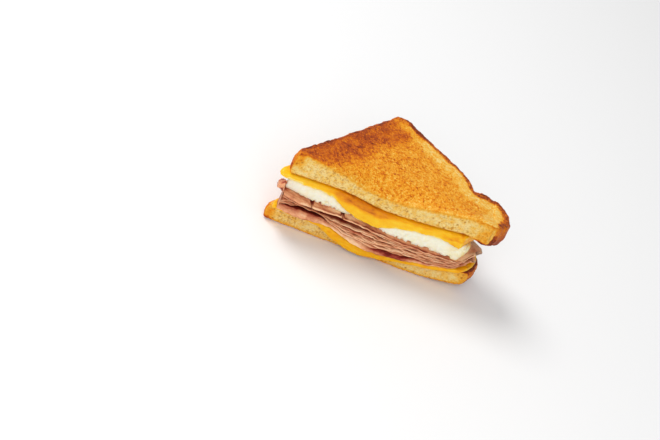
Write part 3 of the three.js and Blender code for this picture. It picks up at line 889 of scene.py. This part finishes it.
class Leaf:
    """One leaf of ham, whose surface is rows of points round it.

    They run from its back over its top, down its front edge and back underneath. start and end are the
    shares of the stack's height at which the leaf starts and ends at the cut.
    """

    def __init__(self, room, values, index, start, end):
        self.room, self.values, self.index = room, values, index
        self.start, self.end = start, end
        self.widest = values.get("widest", False)
        self.proud = knots(values["proud"]) + 1.2 * along(room.xs, 9, 300 + index)
        self.proud += 0.7 * along(room.xs, 2.8, 350 + index, 2)
        left, right = (HAM_INSET["random"] * lattice_one(index, seed) for seed in (1, 2))
        self.insets = [HAM_INSET["left"] + left, HAM_INSET["right"] + right]
        if self.widest:
            self.insets = HAM_INSET["widest"]

    def torn(self, rise):
        """How deep each place is torn, at a height in the leaf's edge from -0.5 to 0.5."""
        deepest = np.zeros(HAM_COLUMNS)
        for tear in self.values.get("tears", []):
            apart = self.room.xs - self.room.left - tear * self.room.width + TEAR["slant"] * rise
            width = TEAR["half_width"] * max(0.01, rise - TEAR["lowest"])
            deepest = np.maximum(deepest, ramp(np.abs(apart) / width, 1.3, 0.6))
        return deepest

    def places(self, depth, ends, opened):
        """Where the points of a row lie along X. The back corners are round and the sides uneven."""
        near_back = float(ramp(depth, HAM_DEPTHS[-1] - HAM_BACK["corner_depth"], HAM_DEPTHS[-1]))
        corner = HAM_BACK["corner"] * (1 - math.sqrt(1 - near_back**2))
        sides = [float(along([depth], 12, 460 + 2 * self.index + side)[0]) for side in (0, 1)]
        ragged = [(1 - opened) * HAM_BACK["uneven"] * side for side in sides]
        left = ends[0] + self.insets[0] + corner + ragged[0]
        right = ends[1] - self.insets[1] - corner - ragged[1]
        return left + (right - left) * SHARES

    def heights(self, place, opened, floor, ceiling):
        """The heights of the underside and the top along a row, which are ruffled near the cut."""
        even = [(self.index + part) / len(HAM_LEAVES) for part in EVEN_PART]
        first = self.start * opened + even[0] * (1 - opened)
        last = self.end * opened + even[1] * (1 - opened)
        if not self.widest:
            to_end = np.minimum(place - place[0], place[-1] - place)
            thinner = 0.3 * (last - first) * ramp(to_end, 1.0, 0)
            first, last = first + thinner, last - thinner
        wave = HAM_RUFFLE["height"] * along(place, HAM_RUFFLE["length"], 400 + self.index // 3)
        wave += HAM_RUFFLE["fine_height"] * along(place, HAM_RUFFLE["fine_length"], 430 + self.index, 2)
        wave *= opened * np.minimum(1, 4 * np.minimum(first, 1 - last) + 0.15)
        low, high = np.interp(place, *floor), np.interp(place, *ceiling)
        return low + (high - low) * first + wave, low + (high - low) * last + wave

    def lip(self, place, depth):
        """How far the widest leaf's top is turned up where its corner folds at the egg's left end."""
        if not self.widest:
            return 0
        past_egg = place - EGG_LEFT
        risen = float(ramp(depth, HAM_LIP["depth"], 0)) * ramp(past_egg, HAM_LIP["start"], HAM_LIP["peak"])
        fallen = np.clip((past_egg - HAM_LIP["end"]) / (HAM_LIP["peak"] - HAM_LIP["end"]), 0, 1)
        return HAM_LIP["rise"] * risen * fallen

    def row(self, depth, ends, floor, ceiling):
        """The points of the top and of the underside at one depth behind the cut."""
        opened = 1 - float(ramp(depth, 0, EVEN_DEPTH))
        place = self.places(depth, ends, opened)
        bottom, top = self.heights(place, opened, floor, ceiling)
        rounded = HAM_TURN["right"] * ramp(place, ends[1] - 14, ends[1] + 3)
        rounded += HAM_TURN["left"] * ramp(place, ends[0] + 5, ends[0]) ** 2
        back = HAM_BACK["uneven"] * along(place, 10, 480 + self.index)
        back -= HAM_BACK["shorter"] * lattice_one(self.index, 3)
        y = CUT_Y + depth + (rounded - self.proud) * opened + (1 - opened) * back
        torn_y = y + TEAR["depth"] * self.torn(0.5) * opened
        lip = self.lip(place, depth)
        return np.stack([place, torn_y, top + lip], axis=1), np.stack([place, y, bottom + 0.2 * lip], axis=1)

    def front(self, top, bottom):
        """The rows of the rounded front edge, from the top's first row to the underside's."""
        thickness = top[:, 2] - bottom[:, 2]
        roundness = HAM_FRONT["roundness"] * np.minimum(thickness, HAM_FRONT["thickest"])
        centre = (top + bottom) / 2
        centre[:, 1] = bottom[:, 1]
        lean = knots(self.values["lean"]) if "lean" in self.values else 0
        rows = []
        for rise in FRONT_RISES:
            out = roundness * math.sqrt(1 - (2 * rise) ** 2) - lean * (rise + 0.2)
            out -= TEAR["depth"] * self.torn(rise)
            rows.append(centre + np.stack([0 * out, -out, rise * thickness], axis=1))
        return rows

    def draw_shade_lines(self, shadow):
        """Adds the painted shade lines along the widest leaf's top edge, under the egg, and along its folded
        corner.
        """
        xs = self.room.xs
        line = 0.8 * ramp(xs - self.room.left, 22, 48) * (0.8 + 0.8 * along(xs, 4, 610))
        shadow[SHEET_ROWS - 3 : SHEET_ROWS + 2] += line * np.array(EDGE_SHADE_LINE)[:, None]
        lip_shade_line = ramp(xs - EGG_LEFT, HAM_LIP["peak"], HAM_LIP["peak"] - 0.8)
        shadow[SHEET_ROWS - 2 : SHEET_ROWS + 1] += lip_shade_line * np.array(LIP_SHADE_LINE)[:, None]

    def shadow(self, points):
        """How much painted shade each point gets between the leaves, under the front edge and in the tears.
        """
        inside = np.array([ramp(depth, 0, 2) for depth in HAM_DEPTHS])
        above = self.values.get("shade_above", SHADE_BETWEEN) * inside[::-1]
        foot = self.values.get("shade_below", SHADE_AT_FOOT)
        front = [foot * float(ramp(rise, 0.05, -0.42)) for rise in FRONT_RISES]
        rows = np.concatenate([above, front, SHADE_BETWEEN * inside])
        shadow = rows[:, None] + np.zeros(points.shape[:2])
        if self.widest:
            self.draw_shade_lines(shadow)
        span = points[:, -1, 0] - points[:, 0, 0]
        to_end = np.minimum(SHARES, 1 - SHARES) * span[:, None]
        back = CUT_Y + HAM_DEPTHS[-1]
        shadow *= ramp(to_end, 0.3, 3.0) * ramp(points[:, :, 1], back - 5, back - 9)
        shadow[:SHEET_ROWS] += self.torn(0.5)
        shadow[SHEET_ROWS:-SHEET_ROWS] += [self.torn(rise) for rise in FRONT_RISES]
        return np.clip(shadow, 0, 1)

    def cure_and_shade(self, points):
        """How deeply cured each point looks, with painted light along the middle of the front edge and
        painted shade along its rims, before its painted shadow.
        """
        spots = points.reshape(-1, 3) * (0.4, 1, 1)
        mottle = 0.42 * fractal(spots, 7, 500 + self.index)
        mottle += 0.34 * fractal(spots, 2.2, 520 + self.index, octaves=2)
        cure_and_shade = knots(self.values["cure_and_shade"]) + mottle.reshape(points.shape[:2]) - 0.08
        # Painted highlight along the middle of each rounded front edge, and painted shade along its rims.
        edge_light_and_shade = [HAM_EDGE_LIGHT_AND_SHADE * (abs(2 * rise) ** 3 - 0.35) for rise in FRONT_RISES]
        cure_and_shade[SHEET_ROWS:-SHEET_ROWS] += np.array(edge_light_and_shade)[:, None]
        if self.widest:
            cure_and_shade += 0.16 * ramp(self.room.xs - EGG_LEFT, 1, -1.5)
        return cure_and_shade

    def surface(self):
        """The points in rows, and the values of their attributes."""
        tops, bottoms = zip(*(self.row(*row) for row in self.room.rows))
        points = np.array([*tops[::-1], *self.front(tops[0], bottoms[0]), *bottoms])
        shadow = self.shadow(points)
        # The painted shade is added to the cure value and mixed in again as a dark red.
        return points, {"cure_and_shade": np.clip(self.cure_and_shade(points) + 0.6 * shadow, 0, 1), "painted_shade": shadow**2}


def leaf_piece(name, surfaces):
    """One mesh of closed leaves, whose rows join in a loop."""
    mesh = bpy.data.meshes.new(name)
    faces, start = [], 0
    for points, _ in surfaces:
        rows, columns = points.shape[:2]
        at = start + np.arange(rows * columns).reshape(rows, columns)
        after = np.roll(at, -1, axis=0)
        quads = np.stack([at[:, :-1], after[:, :-1], after[:, 1:], at[:, 1:]], axis=-1)
        faces += quads.reshape(-1, 4).tolist()
        faces += [at[::-1, 0].tolist(), at[:, -1].tolist()]
        start += rows * columns
    vertices = np.concatenate([points.reshape(-1, 3) for points, _ in surfaces]) * MM
    mesh.from_pydata(vertices.tolist(), [], faces)
    mesh.update()
    piece = linked(name, mesh)
    skin = Skin(piece)
    for key in surfaces[0][1]:
        skin.attribute(key, np.concatenate([values[key].ravel() for _, values in surfaces]))
    return piece


def make_ham():
    """The stack of thin slices, as one piece for each CAD slice."""
    room = HamRoom()
    starts, ends = divisions(HAM_LEAVES, room.xs)
    leaves = [Leaf(room, values, i, starts[i], ends[i]) for i, values in enumerate(HAM_LEAVES)]
    material = ham_finish()
    for number, node in enumerate(HAM_NODES, 1):
        own = [leaf.surface() for leaf in leaves if leaf.values["slice"] == number]
        finished(leaf_piece(f"ham_slice_{number}", own), "ham", material, node)


# ---------------------------------------------------------------- studio

# The camera's angles are in degrees. Its lens and sensor are in millimetres, as Blender has them.
CAMERA_AZIMUTH = -17.12
CAMERA_ELEVATION = 34.77
CAMERA_ROLL = 30.92
CAMERA_DISTANCE = 1077.0
CAMERA_TARGET = (-25.25, -14.8, -1.35)
CAMERA_LENS = 85
CAMERA_SENSOR = 36
CAMERA_FAR_METRES = 20

# Each lamp's name, place in metres, width in metres and watts.
LAMPS = [("key", (-0.9, 0.5, 1.3), 0.9, 15), ("front", (-0.3, -1.3, 0.9), 1.2, 9)]
SKY_STRENGTH = 0.5

FLOOR_HALF_METRES = 4.0
FLOOR_DROP_METRES = 0.0002
FLOOR_GREY = 0.95


def make_camera():
    data = bpy.data.cameras.new("camera")
    data.lens = CAMERA_LENS
    data.sensor_width = CAMERA_SENSOR
    data.clip_end = CAMERA_FAR_METRES
    camera = bpy.data.objects.new("camera", data)
    bpy.context.scene.collection.objects.link(camera)
    azimuth, elevation = math.radians(CAMERA_AZIMUTH), math.radians(CAMERA_ELEVATION)
    away = math.cos(elevation)
    back = Vector((math.sin(azimuth) * away, -math.cos(azimuth) * away, math.sin(elevation)))
    right = Vector((math.cos(azimuth), math.sin(azimuth), 0))
    up = back.cross(right)
    level = Matrix((right, up, back)).transposed().to_4x4()
    roll = Matrix.Rotation(math.radians(CAMERA_ROLL), 4, "Z")
    place = (Vector(CAMERA_TARGET) + back * CAMERA_DISTANCE) * MM
    camera.matrix_world = Matrix.Translation(place) @ level @ roll
    bpy.context.scene.camera = camera


def add_lamp(name, place, size, watts):
    """A round lamp that points at the middle of the frame."""
    data = bpy.data.lights.new(name, "AREA")
    data.shape = "DISK"
    data.size = size
    data.energy = watts
    light = bpy.data.objects.new(name, data)
    bpy.context.scene.collection.objects.link(light)
    light.location = place
    light.rotation_euler = (-Vector(place)).to_track_quat("-Z", "Y").to_euler()


def make_sky():
    """The even white light from all round."""
    world = bpy.data.worlds.new("studio")
    world.use_nodes = True
    background = world.node_tree.nodes["Background"]
    background.inputs["Color"].default_value = (1, 1, 1, 1)
    background.inputs["Strength"].default_value = SKY_STRENGTH
    bpy.context.scene.world = world


def make_floor():
    half = FLOOR_HALF_METRES
    mesh = bpy.data.meshes.new("floor")
    outline = [(-half, -half, 0), (half, -half, 0), (half, half, 0), (-half, half, 0)]
    mesh.from_pydata(outline, [], [range(4)])
    floor = linked("floor", mesh)
    floor.location.z = -FLOOR_DROP_METRES
    finish = Finish("floor", Roughness=0.6)
    finish.shader.inputs["Base Color"].default_value = (FLOOR_GREY, FLOOR_GREY, FLOOR_GREY, 1)
    mesh.materials.append(finish.material)


def make_studio():
    bpy.context.scene.view_settings.view_transform = "Standard"
    make_sky()
    for lamp in LAMPS:
        add_lamp(*lamp)
    make_floor()


# ---------------------------------------------------------------- the object


make_camera()
make_studio()
toast = bread_finish()
finished(make_bread("toast_top", "bread_top", 1, 1), "toast", toast, "bread_top")
finished(make_bread("toast_bottom", "bread_bottom", 71, -1), "toast", toast, "bread_bottom")
cheese = cheese_finish()
finished(make_cheese("melt_top", "cheese_top", 11, 1), "cheese", cheese, "cheese_top")
finished(make_cheese("melt_bottom", "cheese_bottom", 21, 0), "cheese", cheese, "cheese_bottom")
finished(make_egg("egg_white", "egg_patty", 31), "egg", egg_finish(), "egg_patty")
make_ham()
